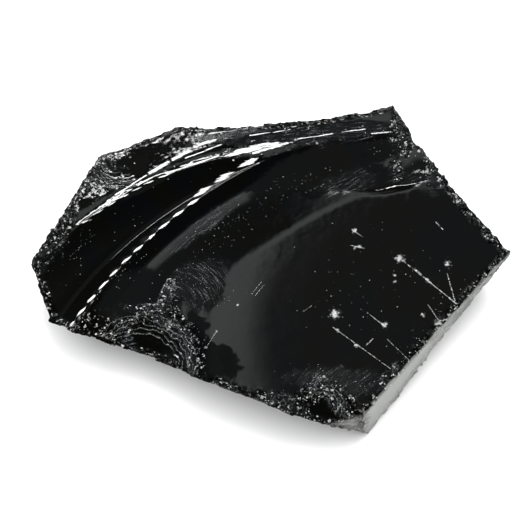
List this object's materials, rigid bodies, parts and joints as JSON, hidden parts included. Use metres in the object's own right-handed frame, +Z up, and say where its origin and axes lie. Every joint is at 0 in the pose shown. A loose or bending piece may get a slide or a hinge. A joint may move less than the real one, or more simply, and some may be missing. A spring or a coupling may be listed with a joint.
{
  "type": "obsidian chunk",
  "caption": "Sharp-edged chunk of black volcanic glass, with smooth shell-like fracture faces above, long curved ridges and a flat face to rest on.",
  "frame": {"origin": "middle of the bounding box, on the plane the chunk rests on", "axes": "+X along the chunk's length, towards its pointed end; +Y towards its back edge; +Z up"},
  "size_m": [0.1074, 0.0791, 0.018],
  "materials": {
    "obsidian": "glassy, black, with frosted and crushed edges"
  },
  "bodies": {
    "root": {"obsidian_chunk": "obsidian"}
  },
  "joints": []
}
